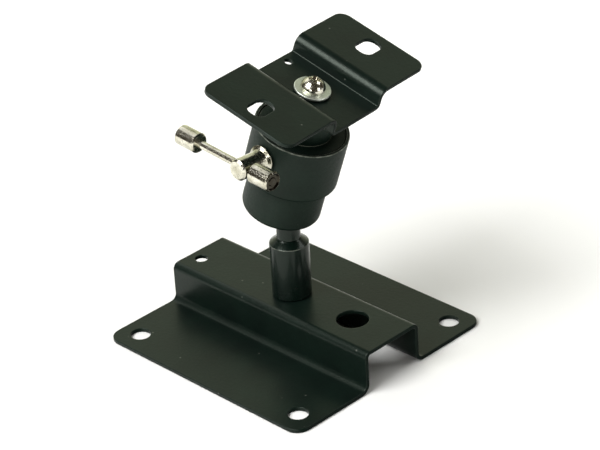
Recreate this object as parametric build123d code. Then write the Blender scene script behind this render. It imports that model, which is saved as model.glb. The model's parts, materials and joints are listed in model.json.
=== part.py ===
from build123d import *
from math import cos, radians, sin, sqrt, tan
import os

# Speaker wall bracket, millimetres.
# The origin is the centre of the wall plate's back face. +Z points away from the wall,
# +X runs along the folds of the wall plate and +Y across them.

# Sheet metal
sheet = 1.5             # thickness of both folded plates
edge_break = 0.25       # rounding of the painted sheet edges
facing = 0.75           # part of a unit normal along an axis from which a face counts as facing it

# Wall plate
wall_length = 100.0
wall_width = 98.0
wall_web = 27.7         # outside width of the raised web
wall_height = 16.8      # top of the web above the wall
wall_corner = 5.5
wall_web_bend = 1.1     # radius inside the folds beside the web
wall_flange_bend = 2.5  # radius inside the folds beside the flanges
wall_hole_inset_x = 8.75       # from the plate's ends to the wall holes' centres
wall_hole_inset_y = 9.0        # from the plate's sides to the wall holes' centres
wall_hole_radius = 3.75
cable_hole_radius = 6.0
cable_hole_inset = 19.8        # from the plate's end to the hole's centre
cable_hole_y = 0.5
wall_tool_hole_radius = 2.4
wall_tool_hole_inset = 5.6     # from the plate's end to the hole's centre
wall_tool_hole_y = -4.2

# Post and its fastener under the web
post_radius = 7.35
post_height = 21.7      # cylindrical part above the web
post_crown = 1.85       # height of the coned top
post_foot_break = 0.4
post_thread_radius = 3.0
post_screw_depth = 9.0
post_screw_head_across = 10.0
post_screw_head_height = 4.0
flat_washer_radius = 6.0
flat_washer_thickness = 1.2
lock_washer_radius = 5.0
lock_washer_thickness = 1.5
lock_washer_gap = 1.2
bolt_clearance = 0.3    # round a bolt in a plain hole
drill_spare = 1.5       # depth of a threaded hole beyond its screw

# Ball stud
ball_radius = 11.0
neck_radius = 4.4
neck_length = 20.05     # from the post's top to the ball's centre
stud_thread_radius = 3.0
stud_thread_length = 9.5

# Aim of the housing at rest
aim_tilt = 18.2         # lean of the housing away from the post's axis
aim_turn = 11.2         # direction of the lean, from +X towards +Y

# Housing, measured along its own axis from the ball's centre
body_radius = 14.55
sleeve_radius = 17.3
body_bottom = -8.4
body_bottom_round = 1.8
sleeve_bottom = 8.2
sleeve_top = 28.95
sleeve_round = 0.45
mouth_wall = 1.2        # wall of the sleeve round its mouth
mouth_depth = 3.3
bore_wall = 4.2         # wall of the sleeve where the clamp screw is threaded
lip_angle = 52.0        # seat's lip on the ball, from the axis
throat_angle = 30.0     # flare of the throat below the lip
running = 0.05          # radial clearance of turning fits
sliding = 0.1           # radial clearance of the plug and pad in their bores
flange_clearance = 0.3  # round the plug's flange in the sleeve's mouth

# Friction pad and plug
pad_thickness = 1.6     # above the crown of the ball
pad_skirt = 5.0         # reach of the pad down over the ball, below its crown
plug_groove_depth = 2.2
plug_flange_gap = 0.5   # under the plug's flange, so that it can be pressed down
plug_flange_drop = 0.6  # top of the flange below the sleeve's rim
stem_foot_radius = 10.8
stem_top_radius = 12.0
plate_seat = 42.85      # underside of the speaker plate's web

# Speaker plate
plate_turn = -4.9       # turn of the plate about the housing's axis, from the lean
plate_length = 39.5
plate_width = 79.6
plate_web = 27.7
plate_web_shift = 0.75  # of the web from the plate's middle, towards the far flange
plate_depth = 8.15
plate_corner = 4.3
plate_web_bend = 0.5    # radius inside the folds beside the web
plate_flange_bend = 2.4  # radius inside the folds beside the flanges
slot_width = 7.3
slot_length = 9.9
slot_corner = 3.1
slot_inset = 9.3        # from the plate's sides to the slots' centres
plate_tool_hole_radius = 1.5
plate_tool_hole_inset = 3.45
plate_tool_hole_y = 6.8

# Plate screw and washer
plate_screw_radius = 2.5
plate_screw_depth = 12.0
pan_radius = 4.5
pan_height = 4.1
pan_edge = 0.9          # straight side of the head below its dome
recess_width = 1.1
recess_span = 5.4
recess_depth = 2.2
recess_turn = 45.0      # turn of the cross recess about the screw's axis
plate_washer_radius = 6.75
plate_washer_thickness = 1.7

# Clamp screw
clamp_side = -101.8     # direction of the screw about the housing's axis, from the lean
clamp_height = 20.6
clamp_thread_radius = 3.0
clamp_tip_gap = 0.25    # between the cone point and the plug's groove
clamp_tip_flat = 1.2    # radius of the point's flat end
collar_gap = 0.5        # between the collar and the sleeve
collar_radius = 5.4
collar_rim = 0.6
collar_cone = 2.6       # length of the coned back of the collar
head_radius = 3.95
head_chamfer = 0.7
head_end = 30.1         # end of the head, from the housing's axis

# Sliding bar
bar_reach = 26.3        # bar's axis, from the housing's axis
bar_roll = 13.25        # turn of the bar about the clamp screw
bar_radius = 1.5
bar_travel = 18.1
cap_radius = 3.8
cap_length = 9.5
cap_chamfer = 0.55
cap_hole_depth = 6.0
cap_stop_gap = 0.7      # between the near cap and the screw's head

# Frames
web_under = wall_height - sheet
post_top = wall_height + post_height + post_crown
ball_z = post_top + neck_length
lean = Vector(cos(radians(aim_turn)), sin(radians(aim_turn)), 0)
housing_axis = lean * sin(radians(aim_tilt)) + Vector(0, 0, cos(radians(aim_tilt)))
lean_slope = lean * cos(radians(aim_tilt)) - Vector(0, 0, sin(radians(aim_tilt)))
housing_frame = Plane(origin=(0, 0, ball_z), x_dir=lean_slope, z_dir=housing_axis)
plate_frame = housing_frame * Pos(0, 0, plate_seat) * Rot(0, 0, plate_turn)
outward = lean_slope.rotate(Axis((0, 0, 0), housing_axis), clamp_side)
bar_level = housing_axis.cross(outward)
bar_axis = bar_level * cos(radians(bar_roll)) + housing_axis * sin(radians(bar_roll))
clamp_frame = Plane(
    origin=Vector(0, 0, ball_z) + housing_axis * clamp_height,
    x_dir=bar_axis,
    z_dir=outward,
)
bar_origin = clamp_frame.origin + outward * bar_reach
bar_frame = Plane(origin=bar_origin, x_dir=outward, z_dir=bar_axis)

# Sizes that follow from the fits
seat_radius = ball_radius + running
bore_radius = sleeve_radius - bore_wall
mouth_radius = sleeve_radius - mouth_wall
mouth_floor = sleeve_top - mouth_depth
pad_top = ball_radius + pad_thickness
plug_radius = bore_radius - sliding
plug_shoulder = pad_top - sliding
flange_bottom = mouth_floor + plug_flange_gap
flange_top = sleeve_top - plug_flange_drop
flange_radius = mouth_radius - flange_clearance
groove_floor = plug_radius - plug_groove_depth
near_cap_face = head_radius + cap_stop_gap
far_cap_face = near_cap_face + bar_travel


def turned(points):
    """Solid of revolution about Z from (radius, height) points of its half section."""
    outline = Polyline(*[(r, 0, z) for r, z in points], close=True)
    return revolve(make_face(outline), Axis.Z)


def tube(outer, inner, low, high):
    """Plain ring between two heights."""
    ring = Circle(outer) - Circle(inner)
    return Pos(0, 0, low) * extrude(ring, high - low)


def rod(radius, low, high):
    """Plain cylinder between two heights."""
    return Pos(0, 0, low) * extrude(Circle(radius), high - low)


def hat_section(width, web, height, web_bend, flange_bend, shift=0):
    """Folded hat section in the YZ plane, web at the top, with its fold radii."""
    half, side = width / 2, web / 2
    left, right = shift - side, shift + side
    upper = [(-half, sheet), (left, sheet), (left, height), (right, height), (right, sheet), (half, sheet)]
    inner = side - sheet
    left, right = shift - inner, shift + inner
    crown = height - sheet
    lower = [(half, 0), (right, 0), (right, crown), (left, crown), (left, 0), (-half, 0)]
    section = make_face(Polyline(*upper, *lower, close=True))
    for y, z, radius in (
        (side, sheet, flange_bend),
        (side, height, web_bend + sheet),
        (inner, 0, flange_bend + sheet),
        (inner, crown, web_bend),
    ):
        for sign in (-1, 1):
            corner = section.vertices().sort_by_distance((shift + sign * y, z, 0))[0]
            section = fillet(corner, radius)
    return Plane.YZ * section


def hat_plate(section, length, width, corner):
    """Folded plate, centred along X, with rounded flange corners."""
    solid = Pos(-length / 2, 0, 0) * extrude(section, length)
    upright = solid.edges().filter_by(Axis.Z)
    outer = upright.filter_by(lambda edge: abs(abs(edge.center().Y) - width / 2) < sheet)
    return fillet(outer, corner)


def break_edges(solid):
    """Rounds the cut edges of a folded plate, all round its outline and in its holes."""
    edges = ShapeList()
    for face in solid.faces():
        normal = face.normal_at()
        across = face.bounding_box().size.Z < sheet + edge_break
        if abs(normal.X) > facing or (across and abs(normal.Z) < 1 - facing):
            edges += face.edges().filter_by(Axis.Z, reverse=True)
    return fillet(edges, edge_break)


def make_wall_plate():
    section = hat_section(wall_width, wall_web, wall_height, wall_web_bend, wall_flange_bend)
    solid = hat_plate(section, wall_length, wall_width, wall_corner)
    drill_length = wall_height + sheet
    for x in (-1, 1):
        for y in (-1, 1):
            along = wall_length / 2 - wall_hole_inset_x
            across = wall_width / 2 - wall_hole_inset_y
            solid -= Pos(x * along, y * across, 0) * rod(wall_hole_radius, -sheet, drill_length)
    holes = (
        (0, 0, post_thread_radius + bolt_clearance),
        (wall_length / 2 - cable_hole_inset, cable_hole_y, cable_hole_radius),
        (wall_tool_hole_inset - wall_length / 2, wall_tool_hole_y, wall_tool_hole_radius),
    )
    for x, y, radius in holes:
        solid -= Pos(x, y, 0) * rod(radius, web_under - sheet, drill_length)
    return break_edges(solid)


def make_speaker_plate():
    bends = (plate_web_bend, plate_flange_bend)
    section = hat_section(plate_width, plate_web, plate_depth, *bends, -plate_web_shift)
    solid = hat_plate(section, plate_length, plate_width, plate_corner)
    drill_length = plate_depth + sheet
    slot = extrude(RectangleRounded(slot_width, slot_length, slot_corner), drill_length)
    for side in (-1, 1):
        solid -= Pos(0, side * (plate_width / 2 - slot_inset), -sheet) * slot
    solid = Pos(0, 0, plate_depth) * Rot(180, 0, 0) * solid
    solid -= rod(plate_screw_radius + bolt_clearance, -sheet, sheet * 2)
    tool_x = plate_tool_hole_inset - plate_length / 2
    solid -= Pos(tool_x, plate_tool_hole_y, 0) * rod(plate_tool_hole_radius, -sheet, sheet * 2)
    return plate_frame * break_edges(solid)


def make_post():
    shoulder = wall_height + post_height
    points = [
        (0, wall_height),
        (post_radius - post_foot_break, wall_height),
        (post_radius, wall_height + post_foot_break),
        (post_radius, shoulder),
        (neck_radius, post_top),
        (0, post_top),
    ]
    solid = turned(points)
    screw_hole_end = wall_height + post_screw_depth + drill_spare
    stud_hole_end = post_top - stud_thread_length - drill_spare
    solid -= rod(post_thread_radius + running, wall_height, screw_hole_end)
    return solid - rod(stud_thread_radius + running, stud_hole_end, post_top)


def make_post_fasteners():
    washer_bottom = web_under - flat_washer_thickness
    lock_bottom = washer_bottom - lock_washer_thickness
    hole = post_thread_radius + bolt_clearance
    flat_washer = tube(flat_washer_radius, hole, washer_bottom, web_under)
    lock_washer = tube(lock_washer_radius, hole, lock_bottom, washer_bottom)
    split = Box(lock_washer_radius * 2, lock_washer_gap, lock_washer_thickness * 3)
    lock_washer -= Pos(lock_washer_radius, 0, lock_bottom) * split
    head = extrude(RegularPolygon(post_screw_head_across / 2, 6, major_radius=False), -post_screw_head_height)
    screw = Pos(0, 0, lock_bottom) * head
    screw += rod(post_thread_radius, lock_bottom, wall_height + post_screw_depth)
    return flat_washer, lock_washer, screw


def make_ball_stud():
    solid = Pos(0, 0, ball_z) * Sphere(ball_radius)
    solid += rod(neck_radius, post_top, ball_z)
    return solid + rod(stud_thread_radius, post_top - stud_thread_length, post_top + neck_radius)


def make_housing():
    lip_z = -seat_radius * cos(radians(lip_angle))
    lip_r = seat_radius * sin(radians(lip_angle))
    throat_r = lip_r + (lip_z - body_bottom) * tan(radians(throat_angle))
    outside = [
        (throat_r, body_bottom),
        (body_radius, body_bottom),
        (body_radius, sleeve_bottom),
        (sleeve_radius, sleeve_bottom),
        (sleeve_radius, sleeve_top),
        (mouth_radius, sleeve_top),
    ]
    inside = [
        (mouth_radius, mouth_floor),
        (bore_radius, mouth_floor),
        (bore_radius, plug_shoulder),
        (seat_radius, plug_shoulder),
        (seat_radius, 0),
        (lip_r, 0),
        (lip_r, lip_z),
    ]
    solid = turned(outside + inside) - Sphere(seat_radius)
    ring_edges = solid.edges().filter_by(GeomType.CIRCLE)

    def ring(radius, height):
        return ring_edges.filter_by(
            lambda edge: abs(edge.radius - radius) < sliding and abs(edge.center().Z - height) < sliding
        )

    solid = fillet(ring(body_radius, body_bottom), body_bottom_round)
    ring_edges = solid.edges().filter_by(GeomType.CIRCLE)
    rims = ring(sleeve_radius, sleeve_bottom) + ring(sleeve_radius, sleeve_top)
    rims += ring(mouth_radius, sleeve_top)
    solid = fillet(rims, sleeve_round)
    solid = housing_frame * solid
    return solid - clamp_frame * rod(clamp_thread_radius + running, 0, sleeve_radius * 2)


def make_pad():
    skirt = ball_radius - pad_skirt
    solid = rod(seat_radius - sliding, skirt, pad_top)
    return housing_frame * (solid - Sphere(seat_radius))


def make_plug():
    points = [
        (0, pad_top),
        (plug_radius, pad_top),
        (plug_radius, clamp_height - plug_groove_depth),
        (groove_floor, clamp_height),
        (plug_radius, clamp_height + plug_groove_depth),
        (plug_radius, flange_bottom),
        (flange_radius, flange_bottom),
        (flange_radius, flange_top),
        (stem_foot_radius, flange_top),
        (stem_top_radius, plate_seat),
        (0, plate_seat),
    ]
    hole_end = plate_seat - plate_screw_depth - drill_spare
    hole = rod(plate_screw_radius + running, hole_end, plate_seat)
    return housing_frame * (turned(points) - hole)


def make_plate_washer():
    low = plate_seat + sheet
    hole = plate_screw_radius + bolt_clearance
    return housing_frame * tube(plate_washer_radius, hole, low, low + plate_washer_thickness)


def make_plate_screw():
    seat = plate_seat + sheet + plate_washer_thickness
    crown = pan_height - pan_edge
    dome = (pan_radius**2 + crown**2) / (2 * crown)
    head = Pos(0, 0, pan_height - dome) * Sphere(dome) & rod(pan_radius, 0, pan_height)
    for turn in (0, 90):
        wing = Box(recess_span, recess_width, recess_depth * 2)
        head -= Pos(0, 0, pan_height) * Rot(0, 0, turn) * wing
    solid = Pos(0, 0, seat) * head + rod(plate_screw_radius, plate_seat - plate_screw_depth, seat)
    return housing_frame * Rot(0, 0, recess_turn) * solid


def make_clamp_screw():
    tip = groove_floor + clamp_tip_gap * sqrt(2) + clamp_tip_flat
    collar = sleeve_radius + collar_gap
    points = [
        (0, tip),
        (clamp_tip_flat, tip),
        (clamp_thread_radius, tip + clamp_thread_radius - clamp_tip_flat),
        (clamp_thread_radius, collar),
        (collar_radius, collar),
        (collar_radius, collar + collar_rim),
        (head_radius, collar + collar_rim + collar_cone),
        (head_radius, head_end - head_chamfer),
        (head_radius - head_chamfer, head_end),
        (0, head_end),
    ]
    hole = bar_frame * rod(bar_radius + running, -collar_radius * 2, collar_radius * 2)
    return clamp_frame * turned(points) - hole


def make_bar():
    return bar_frame * rod(bar_radius, -far_cap_face - cap_hole_depth, near_cap_face + cap_hole_depth)


def make_cap(face, direction):
    """End cap with its mouth at the given distance from the clamp screw's axis."""
    points = [
        (0, cap_hole_depth),
        (bar_radius, cap_hole_depth),
        (bar_radius, 0),
        (cap_radius - cap_chamfer, 0),
        (cap_radius, cap_chamfer),
        (cap_radius, cap_length - cap_chamfer),
        (cap_radius - cap_chamfer, cap_length),
        (0, cap_length),
    ]
    flip = Rot(0, 0 if direction > 0 else 180, 0)
    return bar_frame * Pos(0, 0, direction * face) * flip * turned(points)


flat_washer, lock_washer, post_screw = make_post_fasteners()
pieces = {
    "wall_plate": make_wall_plate(),
    "mounting_post": make_post(),
    "post_flat_washer": flat_washer,
    "post_lock_washer": lock_washer,
    "post_screw": post_screw,
    "ball_stud": make_ball_stud(),
    "socket_housing": make_housing(),
    "friction_pad": make_pad(),
    "swivel_plug": make_plug(),
    "speaker_plate": make_speaker_plate(),
    "plate_washer": make_plate_washer(),
    "plate_screw": make_plate_screw(),
    "clamp_screw": make_clamp_screw(),
    "tommy_bar": make_bar(),
    "bar_cap_near": make_cap(near_cap_face, 1),
    "bar_cap_far": make_cap(far_cap_face, -1),
}

os.makedirs("parts", exist_ok=True)
for name, solid in pieces.items():
    export_step(solid, f"parts/{name}.step")

print("ball centre", (0, 0, round(ball_z, 4)))
print("housing axis", [round(v, 6) for v in housing_axis])
print("clamp axis", [round(v, 6) for v in outward], "through", [round(v, 4) for v in clamp_frame.origin])
print("bar axis", [round(v, 6) for v in bar_axis])
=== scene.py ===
import json
import math
import bmesh
import bpy
from mathutils import Matrix, Vector


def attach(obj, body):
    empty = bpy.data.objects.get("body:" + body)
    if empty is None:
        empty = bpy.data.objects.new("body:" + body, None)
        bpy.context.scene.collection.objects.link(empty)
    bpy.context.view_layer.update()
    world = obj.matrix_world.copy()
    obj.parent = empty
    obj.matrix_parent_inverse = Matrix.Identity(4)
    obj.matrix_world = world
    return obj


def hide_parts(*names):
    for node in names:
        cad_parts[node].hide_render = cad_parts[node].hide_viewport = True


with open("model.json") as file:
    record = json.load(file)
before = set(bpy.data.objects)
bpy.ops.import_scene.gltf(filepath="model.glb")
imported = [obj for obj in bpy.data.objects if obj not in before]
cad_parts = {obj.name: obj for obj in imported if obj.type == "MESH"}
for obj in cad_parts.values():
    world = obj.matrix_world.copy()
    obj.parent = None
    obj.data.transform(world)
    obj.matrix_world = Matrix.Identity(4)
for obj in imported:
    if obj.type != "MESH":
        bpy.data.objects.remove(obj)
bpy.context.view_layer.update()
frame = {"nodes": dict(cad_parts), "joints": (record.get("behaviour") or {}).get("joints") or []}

nodes = frame["nodes"]
joints = {joint["name"]: joint for joint in frame["joints"]}
mm = 0.001
print("frame loaded:", len(nodes), "nodes")

# Directions and places of the turning pieces, from the frame
up = Vector((0, 0, 1))
ballCentre = Vector(joints["ball_swivel"]["pos_m"])
housingAxis = Vector(joints["plate_swivel"]["axis"]).normalized()
clampAxis = Vector(joints["clamp_turn"]["axis"]).normalized()
barAxis = Vector(joints["bar_slide"]["axis"]).normalized()
tiltAxis = Vector(joints["ball_tilt"]["axis"]).normalized()
plateTurn = math.radians(-4.9)                            # of the speaker plate about the housing's axis
wallFold = Vector((1, 0, 0))                              # along the folds of the two plates
plateFold = Matrix.Rotation(plateTurn, 3, housingAxis) @ tiltAxis.cross(housingAxis)


def placeOn(origin, axis, side):
    # matrix with its Z along the axis and its X towards the side
    z = axis.normalized()
    x = (side - z * side.dot(z)).normalized()
    return Matrix.Translation(origin) @ Matrix((x, z.cross(x), z)).transposed().to_4x4()


barOrigin = Vector(joints["clamp_turn"]["pos_m"])         # where the bar crosses the clamp screw
clampOrigin = ballCentre + housingAxis * (barOrigin - ballCentre).dot(housingAxis)
postPlace = placeOn(Vector((0, 0, 0)), up, Vector((1, 0, 0)))
housingPlace = placeOn(ballCentre, housingAxis, Vector((1, 0, 0)))
clampPlace = placeOn(clampOrigin, clampAxis, barAxis)
barPlace = placeOn(barOrigin, barAxis, clampAxis)


def linear(hexCode):
    # sRGB hex to linear light
    parts = [int(hexCode[i:i + 2], 16) / 255 for i in (0, 2, 4)]
    return tuple(p / 12.92 if p <= 0.04045 else ((p + 0.055) / 1.055) ** 2.4 for p in parts) + (1.0,)


def perMetre(size):
    # texture scale whose pattern repeats about every size in mm
    return 1 / (size * mm)


def addNode(tree, kind, inputs=None, **settings):
    # one shader node: settings by name, inputs as plain values or as sockets to link from
    node = tree.nodes.new("ShaderNode" + kind)
    for key, value in settings.items():
        setattr(node, key, value)
    for key, value in (inputs or {}).items():
        if isinstance(value, bpy.types.NodeSocket):
            tree.links.new(value, node.inputs[key])
        else:
            node.inputs[key].default_value = value
    return node


def newMaterial(name):
    material = bpy.data.materials.new(name)
    material.use_nodes = True
    tree = material.node_tree
    tree.nodes.clear()
    return material, tree


def reach(node, place):
    # lowest and highest point of a CAD node along the place's axis and its widest radius, in mm
    inside = place.inverted()
    points = [inside @ vertex.co / mm for vertex in nodes[node].data.vertices]
    heights = [point.z for point in points]
    return min(heights), max(heights), max(math.hypot(point.x, point.y) for point in points)


def softened(corners, radius, steps=4, longest=0.45):
    # half section as (radius, height) corners, to points with their normals and every corner rounded,
    # with no round longer than this share of the shorter side
    lines = [(Vector(b) - Vector(a)).normalized() for a, b in zip(corners, corners[1:])]
    normals = [Vector((line.y, -line.x)) for line in lines]
    section = [(Vector(corners[0]), normals[0])]
    for i in range(1, len(corners) - 1):
        before, after = lines[i - 1], lines[i]
        turn = math.atan2(before.cross(after), before.dot(after))
        shortest = min((Vector(corners[i]) - Vector(corners[i + k])).length for k in (-1, 1))
        back = min(radius * math.tan(abs(turn) / 2), shortest * longest)
        arc = back / math.tan(abs(turn) / 2) * (1 if turn > 0 else -1)
        start = Vector(corners[i]) - before * back
        centre = start - normals[i - 1] * arc
        for k in range(steps + 1):
            angle = turn * k / steps
            normal = Matrix.Rotation(angle, 2) @ normals[i - 1]
            section.append((centre + normal * arc, normal))
    section.append((Vector(corners[-1]), normals[-1]))
    return section


def addPiece(name, mesh, body, slot, material, *replaced):
    # a finished mesh becomes a piece that rides on its body and stands for its CAD nodes
    piece = bpy.data.objects.new(name, mesh)
    bpy.context.scene.collection.objects.link(piece)
    mesh.materials.clear()
    mesh.materials.append(material)
    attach(piece, body)
    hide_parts(*replaced)
    return piece


def turnedMesh(name, section, place, closed=False, sides=120):
    # a half section turned round the place's axis, with the section's own normals
    points, faces, normals = [], [], []
    rings = []
    for point, normal in section:
        if point.x < 1e-6 and not closed:
            rings.append([len(points)])
            points.append((0, 0, point.y))
        else:
            rings.append(list(range(len(points), len(points) + sides)))
            points += [(point.x * math.cos(a), point.x * math.sin(a), point.y)
                       for a in (2 * math.pi * k / sides for k in range(sides))]
    pairs = list(range(len(section) - 1)) + ([len(section) - 1] if closed else [])
    for i in pairs:
        low, high = rings[i], rings[(i + 1) % len(rings)]
        lowNormal, highNormal = section[i][1], section[(i + 1) % len(section)][1]
        for k in range(sides):
            n = (k + 1) % sides
            corners = [(low[k % len(low)], lowNormal, k), (low[n % len(low)], lowNormal, n),
                       (high[n % len(high)], highNormal, n), (high[k % len(high)], highNormal, k)]
            if len(low) == 1:
                corners.pop(1)
            if len(high) == 1:
                corners.pop(2)
            faces.append([c[0] for c in corners])
            for _, normal, side in corners:
                angle = 2 * math.pi * side / sides
                normals.append((normal.x * math.cos(angle), normal.x * math.sin(angle), normal.y))
    mesh = bpy.data.meshes.new(name)
    mesh.from_pydata([place @ (Vector(p) * mm) for p in points], [], faces)
    turn = place.to_3x3()
    mesh.normals_split_custom_set([turn @ Vector(n) for n in normals])
    return mesh


def baked(body):
    # the mesh of an object with its modifiers applied
    graph = bpy.context.evaluated_depsgraph_get()
    return bpy.data.meshes.new_from_object(body.evaluated_get(graph))


sharpAngle = math.radians(32)


def cutAway(mesh, *cutters):
    # the mesh less the cutters, smooth up to the sharp edges
    body = bpy.data.objects.new("body", mesh)
    bpy.context.scene.collection.objects.link(body)
    tools = []
    for cutter in cutters:
        tool = bpy.data.objects.new("cutter", cutter)
        bpy.context.scene.collection.objects.link(tool)
        cut = body.modifiers.new("cut", "BOOLEAN")
        cut.operation = "DIFFERENCE"
        cut.solver = "EXACT"
        cut.object = tool
        tools.append(tool)
    made = baked(body)
    made.shade_smooth()
    made.set_sharp_from_angle(angle=sharpAngle)
    body.modifiers.clear()
    body.data = made
    smooth = body.modifiers.new("smooth", "WEIGHTED_NORMAL")
    smooth.keep_sharp = True
    made = baked(body)
    for thing in [body, *tools]:
        bpy.data.objects.remove(thing)
    return made


# Powder-coated steel: satin black powder baked on folded sheet. The eye gets an even near-black
# with a faint green cast, a soft orange-peel gloss and paler edges, partly rubbed wear and partly a painted
# highlight.
powderCoat = {
    # the third colour is the pale edge colour: partly rubbed wear, partly a painted highlight on edges,
    # bends and rims
    "dark": "08110e", "light": "0c1813", "wearAndHighlight": "575b50", "dust": "6b6d66",
    "roughness": (0.28, 0.39),
    "cloud": 16.0,           # mm, slow change of shade over the sheet
    "peel": 1.5,             # mm between the orange-peel bumps
    "grain": 0.7,            # mm, the real grain is about 0.1 and drawn coarser so that it shows
    "speck": 7.0,            # mm between dust specks
    "dusting": 0.6,          # how far a speck covers the coat
    "edge": 0.45,            # mm reach of the rounded edges
    "rubAndHighlightAt": 0.80,           # agreement of the two normals at which an edge takes the full pale colour, rubbed wear and painted highlight
    "breaks": 2.6,           # mm between gaps in the pale edges, rubbed wear and painted highlight
    "lacquer": 0.0,          # share of a clear, hard gloss over the coat
    "lacquerRoughness": 0.08,
    "ior": 1.5,
    "tint": "f0fff0",        # the coat's reflections are faintly green
    "sheen": 0.245,          # specular level of the coat
    "dullAndShadedSheen": 0.03,       # specular level on the sheared ends of a sheet, and in the painted shade of creases and lower edges
    "creaseShadeReach": 1.5,           # mm reach of the painted shade in a round piece's inside corners
    "rim": 0.4,              # share of up in the normal on a round piece's upper rims, where the pale colour paints a highlight
    "rimReach": 0.2,         # either way from that share
}


def powderCoated(name, look, grainDepth=0.012, peelDepth=0.03, foldAxis=None, riseAxis=None):
    # foldAxis runs along a sheet's folds, riseAxis up through a round piece, depths are in mm
    material, tree = newMaterial(name)
    place = addNode(tree, "TexCoord").outputs["Object"]
    cloud = addNode(tree, "TexNoise", {"Vector": place, "Scale": perMetre(look["cloud"]), "Detail": 4.0})
    grain = addNode(tree, "TexNoise", {"Vector": place, "Scale": perMetre(look["grain"]), "Detail": 2.0})
    peel = addNode(tree, "TexNoise", {"Vector": place, "Scale": perMetre(look["peel"]), "Detail": 1.0})
    patches = addNode(tree, "MapRange", {"Value": cloud.outputs[0], "From Min": 0.32, "From Max": 0.68})
    shade = addNode(tree, "MixRGB", {
        "Fac": patches.outputs[0], "Color1": linear(look["dark"]), "Color2": linear(look["light"])})
    rounded = addNode(tree, "Bevel", {"Radius": look["edge"] * mm}, samples=8)
    if riseAxis:
        # a round piece gets the pale colour as a painted highlight on its upper rims, where its normal
        # turns outward
        facing = addNode(tree, "VectorTransform", {0: rounded.outputs[0]}, vector_type="NORMAL")
        rise = addNode(tree, "VectorMath", {0: facing.outputs[0], 1: riseAxis}, operation="DOT_PRODUCT")
        wearAndHighlight = addNode(tree, "Math", {0: rise.outputs["Value"], 1: look["rim"], 2: look["rimReach"]},
                         operation="COMPARE")
    else:
        # a sheet gets the pale colour on all its edges, where the rounded normal leaves the true one, as
        # rubbed wear and as a painted highlight
        truth = addNode(tree, "NewGeometry")
        agree = addNode(tree, "VectorMath", {0: rounded.outputs[0], 1: truth.outputs["Normal"]},
                        operation="DOT_PRODUCT")
        wearAndHighlight = addNode(tree, "MapRange", {
            "Value": agree.outputs["Value"], "From Min": 0.985, "From Max": look["rubAndHighlightAt"]})
    broken = addNode(tree, "TexNoise", {"Vector": place, "Scale": perMetre(look["breaks"]), "Detail": 3.0})
    breaks = addNode(tree, "MapRange", {"Value": broken.outputs[0], "From Min": 0.30, "From Max": 0.62})
    wearAndHighlightMask = addNode(tree, "Math", {0: wearAndHighlight.outputs[0], 1: breaks.outputs[0]}, operation="MULTIPLY")
    wornAndHighlit = addNode(tree, "MixRGB", {
        "Fac": wearAndHighlightMask.outputs[0], "Color1": shade.outputs[0], "Color2": linear(look["wearAndHighlight"])})
    # a few pale specks of dust
    specks = addNode(tree, "TexVoronoi", {"Vector": place, "Scale": perMetre(look["speck"])})
    dots = addNode(tree, "MapRange", {
        "Value": specks.outputs["Distance"], "From Min": 0.06, "From Max": 0.03,
        "To Max": look["dusting"]})
    dusty = addNode(tree, "MixRGB", {
        "Fac": dots.outputs[0], "Color1": wornAndHighlit.outputs[0], "Color2": linear(look["dust"])})
    gloss = addNode(tree, "MapRange", {
        "Value": grain.outputs[0], "From Min": 0.3, "From Max": 0.7,
        "To Min": look["roughness"][0], "To Max": look["roughness"][1]})
    peelBump = addNode(tree, "Bump", {
        "Height": peel.outputs[0], "Distance": peelDepth * mm, "Normal": rounded.outputs[0]})
    bump = addNode(tree, "Bump", {
        "Height": grain.outputs[0], "Distance": grainDepth * mm, "Normal": peelBump.outputs[0]})
    sheen = look["sheen"]
    if foldAxis:
        # the ends of a folded sheet are sheared, and the coat is thin and matt there
        facing = addNode(tree, "TexCoord").outputs["Normal"]
        endOn = addNode(tree, "VectorMath", {0: facing, 1: foldAxis}, operation="DOT_PRODUCT")
        endOn = addNode(tree, "Math", {0: endOn.outputs["Value"]}, operation="ABSOLUTE")
        sheen = addNode(tree, "MapRange", {
            "Value": endOn.outputs[0], "From Min": 0.5, "From Max": 0.9,
            "To Min": look["sheen"], "To Max": look["dullAndShadedSheen"]}).outputs[0]
    if riseAxis:
        # painted shade: a round piece loses its sheen in its inside corners, by ambient occlusion, and on
        # its downward-facing lower edges
        occlusionShade = addNode(tree, "AmbientOcclusion", {"Distance": look["creaseShadeReach"] * mm}, samples=8,
                          only_local=True)
        level = addNode(tree, "MapRange", {
            "Value": occlusionShade.outputs["AO"], "From Min": 0.62, "From Max": 0.92,
            "To Min": look["dullAndShadedSheen"], "To Max": look["sheen"]})
        undersideShade = addNode(tree, "MapRange", {
            "Value": rise.outputs["Value"], "From Min": -0.4, "From Max": -0.1})
        sheen = addNode(tree, "Math", {0: level.outputs[0], 1: undersideShade.outputs[0]},
                        operation="MULTIPLY").outputs[0]
    coat = addNode(tree, "BsdfPrincipled", {
        "Base Color": dusty.outputs[0], "Roughness": gloss.outputs[0], "Normal": bump.outputs[0],
        "IOR": look["ior"], "Specular IOR Level": sheen, "Specular Tint": linear(look["tint"]),
        "Coat Weight": look["lacquer"], "Coat Roughness": look["lacquerRoughness"]})
    addNode(tree, "OutputMaterial", {"Surface": coat.outputs[0]})
    return material


# Nickel-plated brass: turned bar stock under bright plating. The eye gets a warm mirror with
# fine turning rings, a slight grain that breaks up dark reflections, and duller patches.
nickelPlate = {
    "bright": "d9d6c8", "dull": "b0ac98", "tarnish": "35322a", "roughness": (0.05, 0.13),
    "ring": 0.35,            # mm between turning rings, the real ones are finer and drawn coarser
    "ringDepth": 0.004,      # mm
    "patch": 5.0,            # mm, duller patches
    "grain": 0.32,           # mm, the real grain is far finer and drawn coarser so that it shows
    "grainDepth": 0.016,     # mm
    "pitted": 0.20,          # roughness that the dull grains add
    "pinholes": 0.75,        # share of tarnish in the pinholes
    "fade": 0.1,             # mm over which the tarnish of a sunk end fades out
}


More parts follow.
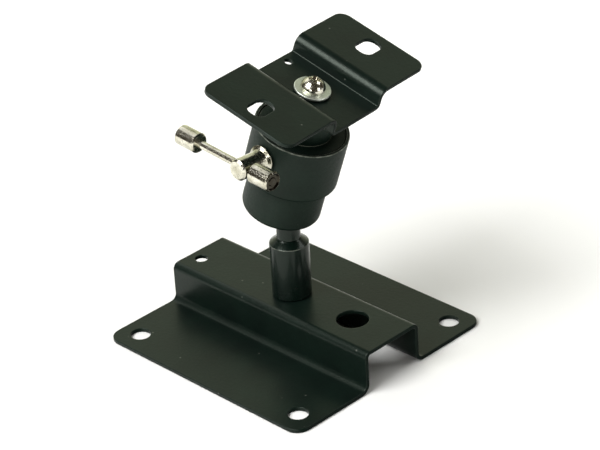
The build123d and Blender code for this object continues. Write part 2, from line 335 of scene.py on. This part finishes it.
def turnedNickel(name, look, place, sunkEnds=None):
    # sunkEnds gives the heights of two end faces and the depth and radius of the tarnish in them, in mm
    material, tree = newMaterial(name)
    origin, axis = place.translation, place.to_3x3().col[2]
    spot = addNode(tree, "TexCoord").outputs["Object"]
    offset = addNode(tree, "VectorMath", {0: spot, 1: origin}, operation="SUBTRACT")
    along = addNode(tree, "VectorMath", {0: offset.outputs[0], 1: axis}, operation="DOT_PRODUCT")
    onAxis = addNode(tree, "VectorMath", {0: axis, "Scale": along.outputs["Value"]}, operation="SCALE")
    away = addNode(tree, "VectorMath", {0: offset.outputs[0], 1: onAxis.outputs[0]}, operation="DISTANCE")
    # rings run with the distance along the axis on the sides and with the radius on the ends
    path = addNode(tree, "Math", {0: along.outputs["Value"], 1: away.outputs["Value"]}, operation="ADD")
    rings = addNode(tree, "TexNoise", {
        "W": path.outputs[0], "Scale": perMetre(look["ring"]), "Detail": 2.0}, noise_dimensions="1D")
    patch = addNode(tree, "TexNoise", {"Vector": spot, "Scale": perMetre(look["patch"]), "Detail": 4.0})
    grain = addNode(tree, "TexNoise", {"Vector": spot, "Scale": perMetre(look["grain"]), "Detail": 3.0})
    duller = addNode(tree, "MapRange", {"Value": patch.outputs[0], "From Min": 0.42, "From Max": 0.70})
    colour = addNode(tree, "MixRGB", {
        "Fac": duller.outputs[0], "Color1": linear(look["bright"]), "Color2": linear(look["dull"])})
    # tiny dark pinholes in the plating
    dots = addNode(tree, "MapRange", {
        "Value": grain.outputs[0], "From Min": 0.44, "From Max": 0.34, "To Max": look["pinholes"]})
    colour = addNode(tree, "MixRGB", {
        "Fac": dots.outputs[0], "Color1": colour.outputs[0], "Color2": linear(look["tarnish"])})
    if sunkEnds:
        low, high, depth, radius = (value * mm for value in sunkEnds)
        middle = addNode(tree, "Math", {0: along.outputs["Value"], 1: (low + high) / 2},
                         operation="SUBTRACT")
        outward = addNode(tree, "Math", {0: middle.outputs[0]}, operation="ABSOLUTE")
        deep = addNode(tree, "Math", {0: outward.outputs[0], 1: (high - low) / 2 - depth},
                       operation="GREATER_THAN")
        inside = addNode(tree, "MapRange", {
            "Value": away.outputs["Value"], "From Min": radius + look["fade"] * mm, "From Max": radius})
        sunk = addNode(tree, "Math", {0: deep.outputs[0], 1: inside.outputs[0]}, operation="MULTIPLY")
        colour = addNode(tree, "MixRGB", {
            "Fac": sunk.outputs[0], "Color1": colour.outputs[0], "Color2": linear(look["tarnish"])})
    mixed = addNode(tree, "Math", {0: duller.outputs[0], 1: rings.outputs[0]}, operation="ADD")
    gloss = addNode(tree, "MapRange", {
        "Value": mixed.outputs[0], "From Min": 0.3, "From Max": 1.4,
        "To Min": look["roughness"][0], "To Max": look["roughness"][1]})
    pits = addNode(tree, "MapRange", {
        "Value": grain.outputs[0], "From Min": 0.40, "From Max": 0.66, "To Max": look["pitted"]})
    gloss = addNode(tree, "Math", {0: gloss.outputs[0], 1: pits.outputs[0]}, operation="ADD")
    ringBump = addNode(tree, "Bump", {"Height": rings.outputs[0], "Distance": look["ringDepth"] * mm})
    bump = addNode(tree, "Bump", {
        "Height": grain.outputs[0], "Distance": look["grainDepth"] * mm, "Normal": ringBump.outputs[0]})
    metal = addNode(tree, "BsdfPrincipled", {
        "Base Color": colour.outputs[0], "Metallic": 1.0, "Roughness": gloss.outputs[0],
        "Normal": bump.outputs[0]})
    addNode(tree, "OutputMaterial", {"Surface": metal.outputs[0]})
    return material


# Moulded nylon: the off-white friction pad inside the socket. The eye gets a waxy, faintly
# mottled plastic.
nylon = {
    "pale": "e4dfd2", "deep": "d3ccba", "roughness": (0.42, 0.55), "ior": 1.53,
    "mottle": 6.0, "grain": 0.8, "grainDepth": 0.01,         # mm
}


def mouldedNylon(name, look):
    material, tree = newMaterial(name)
    spot = addNode(tree, "TexCoord").outputs["Object"]
    mottle = addNode(tree, "TexNoise", {"Vector": spot, "Scale": perMetre(look["mottle"]), "Detail": 3.0})
    grain = addNode(tree, "TexNoise", {"Vector": spot, "Scale": perMetre(look["grain"]), "Detail": 2.0})
    colour = addNode(tree, "MixRGB", {
        "Fac": mottle.outputs[0], "Color1": linear(look["pale"]), "Color2": linear(look["deep"])})
    gloss = addNode(tree, "MapRange", {
        "Value": grain.outputs[0], "To Min": look["roughness"][0], "To Max": look["roughness"][1]})
    bump = addNode(tree, "Bump", {"Height": grain.outputs[0], "Distance": look["grainDepth"] * mm})
    plastic = addNode(tree, "BsdfPrincipled", {
        "Base Color": colour.outputs[0], "Roughness": gloss.outputs[0], "Normal": bump.outputs[0],
        "IOR": look["ior"]})
    addNode(tree, "OutputMaterial", {"Surface": plastic.outputs[0]})
    return material


coatedWallPlate = powderCoated("powderCoatedWallPlate", powderCoat, foldAxis=wallFold)
plateCoat = dict(powderCoat, wearAndHighlight="868a80")             # its edges and inner bends are paler, a painted highlight
coatedSpeakerPlate = powderCoated("powderCoatedSpeakerPlate", plateCoat, foldAxis=plateFold)

# Gloss black enamel: stoved on the turned post and stud. The eye gets a smooth black with
# crisp streaks of light, where the folded plates are satin.
# its upper rims get the pale colour as a painted highlight, and its inside corners a painted shade
glossEnamel = dict(powderCoat, roughness=(0.25, 0.27), dusting=0.1, lacquer=0.15, wearAndHighlight="656960")
enamelledSteel = powderCoated("glossEnamelledSteel", glossEnamel, 0.001, 0.003, riseAxis=up)

# Powder-coated zinc casting: the housing, and the plug in its mouth. The eye gets a duller,
# coarser black, with a painted highlight in a thin pale line on the rims and painted shade in a dark line
# under the sleeve.
castCoat = dict(powderCoat, dark="0b1511", light="0f1c16", wearAndHighlight="767a70", roughness=(0.50, 0.62),
                peel=2.2, cloud=11.0, dusting=0.1, edge=0.7, creaseShadeReach=6.0, rim=0.6, rimReach=0.3)
# the plug's rims get a dimmer painted highlight
plugCoat = dict(castCoat, wearAndHighlight="575b50")
coatedCasting = powderCoated("powderCoatedZincCasting", castCoat, 0.016, 0.05, riseAxis=housingAxis)
coatedPlug = powderCoated("powderCoatedPlug", plugCoat, 0.016, 0.05, riseAxis=housingAxis)

# Nickel on the other pieces: the screw's is cleaner, and the washer's a dull satin
capTarnish = {"depth": 0.7, "radius": 3.2}                # mm, in the sunk ends of the bar's caps
capEnds = (reach("bar_cap_far", barPlace)[0], reach("bar_cap_near", barPlace)[1],
           capTarnish["depth"], capTarnish["radius"])
brightNickel = dict(nickelPlate, grainDepth=0.012, pinholes=0.3)
dullNickel = dict(nickelPlate, bright="e0e6dc", dull="c4cbbf", roughness=(0.34, 0.46),
                  pitted=0.1, pinholes=0.3)
clampNickel = turnedNickel("nickelPlatedClampScrew", nickelPlate, clampPlace)
barNickel = turnedNickel("nickelPlatedBar", nickelPlate, barPlace, capEnds)
screwNickel = turnedNickel("nickelPlatedScrew", brightNickel, housingPlace)
washerNickel = turnedNickel("dullNickelPlatedWasher", dullNickel, housingPlace)

# Zinc-plated steel: the screw and washers under the post. The eye gets a cooler, bluish metal.
zincPlate = dict(nickelPlate, bright="c9ccd0", dull="a3a7ad")
zincSteel = turnedNickel("zincPlatedSteel", zincPlate, postPlace)
padNylon = mouldedNylon("mouldedNylon", nylon)
finishes = {
    "wall_plate": coatedWallPlate, "speaker_plate": coatedSpeakerPlate, "ball_stud": enamelledSteel,
    "socket_housing": coatedCasting, "swivel_plug": coatedPlug, "friction_pad": padNylon,
    "post_screw": zincSteel, "post_flat_washer": zincSteel, "post_lock_washer": zincSteel,
}
for name, finish in finishes.items():
    nodes[name].data.materials[0] = finish
print("materials made")

# Post: turned steel with a coned top and a small fillet at the neck, sizes in mm
postShape = {"footBreak": 0.5, "crown": 1.85, "neck": 4.4, "screwHole": 3.05, "screwDepth": 10.5,
             "studHole": 3.05, "studDepth": 11.0, "round": 0.45, "fillet": 0.5}


def makePost(spec):
    low, high, radius = reach("mounting_post", postPlace)
    screwEnd, studEnd = low + spec["screwDepth"], high - spec["studDepth"]
    top = high + spec["fillet"]
    corners = [
        (0, screwEnd), (spec["screwHole"], screwEnd), (spec["screwHole"], low),
        (radius - spec["footBreak"], low), (radius, low + spec["footBreak"]),
        (radius, high - spec["crown"]), (spec["neck"] + spec["fillet"], high), (spec["neck"], top),
        (spec["studHole"], top), (spec["studHole"], studEnd), (0, studEnd)]
    mesh = turnedMesh("post", softened(corners, spec["round"]), postPlace)
    addPiece("post", mesh, "base", "black_paint", enamelledSteel, "mounting_post")


# Bar and its two caps: turned and chamfered, with the bar's end peened over in a sunk face
capShape = {"chamfer": 0.55, "bore": 1.5, "boreDepth": 6.0, "round": 0.12, "land": 3.2, "floor": 2.6,
            "sunk": 0.6, "peen": 1.7, "peenRise": 0.4, "peenShoulder": 0.8}
barShape = {"chamfer": 0.3, "round": 0.1}


def capSection(spec, length, radius):
    floor = length - spec["sunk"]
    share = spec["peenShoulder"]                          # of the peen's radius and of its rise
    corners = [
        (0, spec["boreDepth"]), (spec["bore"], spec["boreDepth"]), (spec["bore"], 0),
        (radius - spec["chamfer"], 0), (radius, spec["chamfer"]), (radius, length - spec["chamfer"]),
        (radius - spec["chamfer"], length), (spec["land"], length), (spec["floor"], floor),
        (spec["peen"], floor), (spec["peen"] * share, floor + spec["peenRise"] * share),
        (0, floor + spec["peenRise"])]
    return softened(corners, spec["round"])


def makeBar(spec, cap):
    low, high, radius = reach("tommy_bar", barPlace)
    chamfer = spec["chamfer"]
    corners = [(0, low), (radius - chamfer, low), (radius, low + chamfer), (radius, high - chamfer),
               (radius - chamfer, high), (0, high)]
    mesh = turnedMesh("slidingBar", softened(corners, spec["round"]), barPlace)
    addPiece("slidingBar", mesh, "bar", "nickel", barNickel, "tommy_bar")
    flip = Matrix.Rotation(math.pi, 4, "X")
    for node, name in (("bar_cap_near", "barCapNear"), ("bar_cap_far", "barCapFar")):
        low, high, radius = reach(node, barPlace)
        mouth = barPlace @ Matrix.Translation((0, 0, low * mm))
        if high < 0:
            mouth = barPlace @ Matrix.Translation((0, 0, high * mm)) @ flip
        mesh = turnedMesh(name, capSection(cap, high - low, radius), mouth)
        addPiece(name, mesh, "bar", "nickel", barNickel, node)


# Clamp screw: cone point, thread, collar with a coned back and a cross-drilled head
clampShape = {"tipFlat": 1.2, "thread": 3.0, "collarAt": 17.8, "collar": 5.4, "rim": 0.6,
              "cone": 0.7, "root": 4.2, "taper": 1.9, "head": 3.95, "chamfer": 0.7, "round": 0.14,
              "hole": 1.55, "holeReach": 12.0}


def makeClampScrew(spec):
    low, high, _ = reach("clamp_screw", clampPlace)
    coneFoot = spec["collarAt"] + spec["rim"]
    coneEnd = coneFoot + spec["cone"]
    corners = [
        (0, low), (spec["tipFlat"], low), (spec["thread"], low + spec["thread"] - spec["tipFlat"]),
        (spec["thread"], spec["collarAt"]), (spec["collar"], spec["collarAt"]),
        (spec["collar"], coneFoot), (spec["root"], coneEnd), (spec["head"], coneEnd + spec["taper"]),
        (spec["head"], high - spec["chamfer"]), (spec["head"] - spec["chamfer"], high), (0, high)]
    mesh = turnedMesh("clampScrew", softened(corners, spec["round"]), clampPlace)
    half = spec["holeReach"]
    drill = [(0, -half), (spec["hole"], -half), (spec["hole"], half), (0, half)]
    hole = turnedMesh("drill", softened(drill, spec["round"]), barPlace, sides=48)
    addPiece("clampScrew", cutAway(mesh, hole), "clamp", "nickel", clampNickel, "clamp_screw")


# Plate screw: pan head with a cross recess over a pressed washer
washerShape = {"hole": 2.8, "rim": 0.9, "foot": 1.1, "rollOver": 0.4}
screwShape = {"shank": 2.5, "head": 4.5, "edge": 0.9, "height": 4.1, "domeSteps": 12, "round": 0.18,
              "wing": 2.7, "wingFoot": 1.1, "wide": 0.62, "wideFoot": 0.42, "deep": 2.3, "over": 0.6,
              "corner": 1.25, "turn": 45.0}


def makeWasher(spec):
    low, high, radius = reach("plate_washer", housingPlace)
    corners = [(spec["hole"], high), (spec["hole"], low), (radius - spec["foot"], low),
               (radius, high - spec["rim"]), (radius, high)]
    middle = ((spec["hole"] + radius) / 2, high)
    section = softened([middle, *corners, middle], spec["rollOver"], steps=6)[:-1]
    mesh = turnedMesh("plateWasher", section, housingPlace, closed=True)
    addPiece("plateWasher", mesh, "head", "nickel", washerNickel, "plate_washer")


def recessCutter(spec, top):
    # four tapering wings, from above the head down to the recess's floor
    made = bmesh.new()
    rows = []
    for depth in (-spec["over"], spec["deep"]):
        share = depth / spec["deep"]
        wing = spec["wing"] + (spec["wingFoot"] - spec["wing"]) * share
        wide = spec["wide"] + (spec["wideFoot"] - spec["wide"]) * share
        inner = wide * spec["corner"]                     # inside corner between two wings
        row = []
        for quarter in range(4):
            spin = Matrix.Rotation(math.radians(90 * quarter + spec["turn"]), 4, "Z")
            for x, y in ((wing, -wide), (wing, wide), (inner, inner)):
                row.append(made.verts.new(housingPlace @ spin @ (Vector((x, y, top - depth)) * mm)))
        rows.append(row)
    made.faces.new(rows[0])
    made.faces.new(list(reversed(rows[1])))
    for k in range(len(rows[0])):
        n = (k + 1) % len(rows[0])
        made.faces.new((rows[0][n], rows[0][k], rows[1][k], rows[1][n]))
    bmesh.ops.recalc_face_normals(made, faces=made.faces)
    mesh = bpy.data.meshes.new("recess")
    made.to_mesh(mesh)
    made.free()
    return mesh


def makePlateScrew(spec):
    low = reach("plate_screw", housingPlace)[0]
    seat = reach("plate_washer", housingPlace)[1]
    rise = spec["height"] - spec["edge"]
    dome = (spec["head"] ** 2 + rise ** 2) / (2 * rise)
    sweep = math.asin(spec["head"] / dome)
    top = seat + spec["height"]
    corners = [(0, low), (spec["shank"], low), (spec["shank"], seat), (spec["head"], seat)]
    corners += [(dome * math.sin(a), top - dome + dome * math.cos(a))
                for a in (sweep * (1 - k / spec["domeSteps"]) for k in range(spec["domeSteps"]))]
    mesh = turnedMesh("plateScrew", softened(corners + [(0, top)], spec["round"]), housingPlace)
    mesh = cutAway(mesh, recessCutter(spec, top))
    addPiece("plateScrew", mesh, "head", "nickel", screwNickel, "plate_screw")


makePost(postShape)
makeBar(barShape, capShape)
makeClampScrew(clampShape)
makeWasher(washerShape)
makePlateScrew(screwShape)
print("turned pieces made")

# Floor: a white table that shows the soft shadow
floorSheet = {
    "size": 8.0, "gap": 0.0001,                           # metres, and so are the ranges below
    "colour": "f4f4f2",
    "lift": 0.30, "liftRange": (0.065, 0.20),             # sets in away from the object
    "distant": 0.7, "distantRange": (0.4, 2.0),           # makes up for the lamps' fall-off
}


def makeFloor(spec):
    mesh = bpy.data.meshes.new("floor")
    half = spec["size"] / 2
    low = -spec["gap"]
    corners = [(-half, -half, low), (half, -half, low), (half, half, low), (-half, half, low)]
    mesh.from_pydata(corners, [], [(0, 1, 2, 3)])
    floor = bpy.data.objects.new("floor", mesh)
    bpy.context.scene.collection.objects.link(floor)
    material, tree = newMaterial("whiteTable")
    rays = addNode(tree, "LightPath")
    seen = addNode(tree, "Math", {0: rays.outputs["Is Camera Ray"], 1: rays.outputs["Is Glossy Ray"]},
                   operation="MAXIMUM")
    seen = addNode(tree, "Math", {0: seen.outputs[0], 1: rays.outputs["Is Transmission Ray"]},
                   operation="MAXIMUM")
    # a lift to white that leaves the shade under the plates dark
    spot = addNode(tree, "TexCoord").outputs["Object"]
    away = addNode(tree, "VectorMath", {0: spot}, operation="LENGTH")
    around = addNode(tree, "MapRange", {
        "Value": away.outputs["Value"], "From Min": spec["liftRange"][0],
        "From Max": spec["liftRange"][1], "To Max": spec["lift"]})
    beyond = addNode(tree, "MapRange", {
        "Value": away.outputs["Value"], "From Min": spec["distantRange"][0],
        "From Max": spec["distantRange"][1], "To Max": spec["distant"]})
    level = addNode(tree, "Math", {0: around.outputs[0], 1: beyond.outputs[0]}, operation="ADD")
    lift = addNode(tree, "Math", {0: seen.outputs[0], 1: level.outputs[0]}, operation="MULTIPLY")
    glow = addNode(tree, "Emission", {"Color": (1, 1, 1, 1), "Strength": lift.outputs[0]})
    paper = addNode(tree, "BsdfDiffuse", {"Color": linear(spec["colour"])})
    both = addNode(tree, "AddShader", {0: paper.outputs[0], 1: glow.outputs[0]})
    # seen from below the table is clear, so that the underside shows
    side = addNode(tree, "NewGeometry")
    clear = addNode(tree, "BsdfTransparent")
    table = addNode(tree, "MixShader", {
        0: side.outputs["Backfacing"], 1: both.outputs[0], 2: clear.outputs[0]})
    addNode(tree, "OutputMaterial", {"Surface": table.outputs[0]})
    mesh.materials.append(material)


makeFloor(floorSheet)

# Studio: soft boxes that face the object, in a dim room with a white backdrop behind the object
lamps = {
    "keyBox": {"azimuth": 350, "elevation": 50, "size": 0.74, "radiance": 10.9},
    "sideBox": {"azimuth": 100, "elevation": 14, "size": 0.40, "radiance": 3.7},
    "rearBox": {"azimuth": 145, "elevation": 47, "size": 0.45, "radiance": 3.1},
    "leftBox": {"azimuth": 262, "elevation": 46, "size": 0.70, "radiance": 1.1},
    "frontBox": {"azimuth": 24, "elevation": 12, "size": 0.40, "radiance": 5.0},
}
lampStand = {"aim": (0, 0, 0.05), "distance": 1.2}       # metres
room = {
    "shade": "423d33", "backdrop": "f4f9db", "azimuth": 226,
    "low": 1.12, "high": 0.80, "glowRange": (0.1, 0.5),  # glow of the backdrop from foot to head
    "wideRange": (0.45, 0.85), "tallRange": (0.86, 0.58),  # where it fades in, in parts of a unit ray
}


def bearing(azimuth, elevation):
    # direction to a lamp or a camera: azimuth 0 stands on the -Y side, elevation rises to +Z
    a, e = math.radians(azimuth), math.radians(elevation)
    return Vector((math.sin(a) * math.cos(e), -math.cos(a) * math.cos(e), math.sin(e)))


def makeLamp(name, spec, stand):
    light = bpy.data.lights.new(name, "AREA")
    light.shape = "SQUARE"
    light.size = spec["size"]
    light.energy = spec["radiance"] * math.pi * spec["size"] ** 2     # watts
    lamp = bpy.data.objects.new(name, light)
    towards = bearing(spec["azimuth"], spec["elevation"])
    lamp.location = Vector(stand["aim"]) + towards * stand["distance"]
    lamp.rotation_mode = "QUATERNION"
    lamp.rotation_quaternion = (-towards).to_track_quat("-Z", "Y")
    bpy.context.scene.collection.objects.link(lamp)


def makeRoom(spec):
    world = bpy.data.worlds.new("studio")
    world.use_nodes = True
    tree = world.node_tree
    tree.nodes.clear()
    direction = addNode(tree, "TexCoord").outputs["Generated"]
    height = addNode(tree, "SeparateXYZ", {0: direction})
    # the backdrop spans the rear and fades out upwards and to the sides
    level = addNode(tree, "VectorMath", {0: direction, 1: (1, 1, 0)}, operation="MULTIPLY")
    level = addNode(tree, "VectorMath", {0: level.outputs[0]}, operation="NORMALIZE")
    rear = addNode(tree, "VectorMath", {0: level.outputs[0], 1: bearing(spec["azimuth"], 0)},
                   operation="DOT_PRODUCT")
    wide = addNode(tree, "MapRange", {
        "Value": rear.outputs["Value"], "From Min": spec["wideRange"][0],
        "From Max": spec["wideRange"][1]}, interpolation_type="SMOOTHSTEP")
    tall = addNode(tree, "MapRange", {
        "Value": height.outputs["Z"], "From Min": spec["tallRange"][0],
        "From Max": spec["tallRange"][1]}, interpolation_type="SMOOTHSTEP")
    sheet = addNode(tree, "Math", {0: wide.outputs[0], 1: tall.outputs[0]}, operation="MULTIPLY")
    glow = addNode(tree, "MapRange", {
        "Value": height.outputs["Z"], "From Min": spec["glowRange"][0], "From Max": spec["glowRange"][1],
        "To Min": spec["low"], "To Max": spec["high"]})
    walls = addNode(tree, "Background", {"Color": linear(spec["shade"]), "Strength": 1.0})
    paper = addNode(tree, "Background", {"Color": linear(spec["backdrop"]), "Strength": glow.outputs[0]})
    studio = addNode(tree, "MixShader", {0: sheet.outputs[0], 1: walls.outputs[0], 2: paper.outputs[0]})
    rays = addNode(tree, "LightPath")
    seen = addNode(tree, "Math", {0: rays.outputs["Is Camera Ray"], 1: rays.outputs["Is Transmission Ray"]},
                   operation="MAXIMUM")
    white = addNode(tree, "Background", {"Color": (1, 1, 1, 1), "Strength": 1.0})
    sky = addNode(tree, "MixShader", {0: seen.outputs[0], 1: studio.outputs[0], 2: white.outputs[0]})
    addNode(tree, "OutputWorld", {"Surface": sky.outputs[0]})
    bpy.context.scene.world = world


for name, spec in lamps.items():
    makeLamp(name, spec, lampStand)
makeRoom(room)
print("studio made")

# Camera at the photograph's viewing angle
view = {
    "azimuth": 46.215, "elevation": 29.313, "roll": 3.507,   # degrees
    "target": (4.558, 1.678, 46.208), "distance": 882.5,     # mm
    "lens": 146.05, "sensor": 36.0,                          # mm
    "clip": (0.01, 50),                                      # metres
}


def makeCamera(spec):
    back = bearing(spec["azimuth"], spec["elevation"])
    roll = math.radians(spec["roll"])
    right = (-back).cross(up).normalized()
    level = right.cross(-back)
    top = level * math.cos(roll) + right * math.sin(roll)
    side = (-back).cross(top)
    data = bpy.data.cameras.new("camera")
    data.sensor_width = spec["sensor"]
    data.lens = spec["lens"]
    data.clip_start, data.clip_end = spec["clip"]
    camera = bpy.data.objects.new("camera", data)
    turn = Matrix((side, top, back)).transposed().to_4x4()
    stand = (Vector(spec["target"]) + back * spec["distance"]) * mm
    camera.matrix_world = Matrix.Translation(stand) @ turn
    bpy.context.scene.collection.objects.link(camera)
    bpy.context.scene.camera = camera


makeCamera(view)
bpy.context.scene.view_settings.view_transform = "Standard"

print("scene ready")
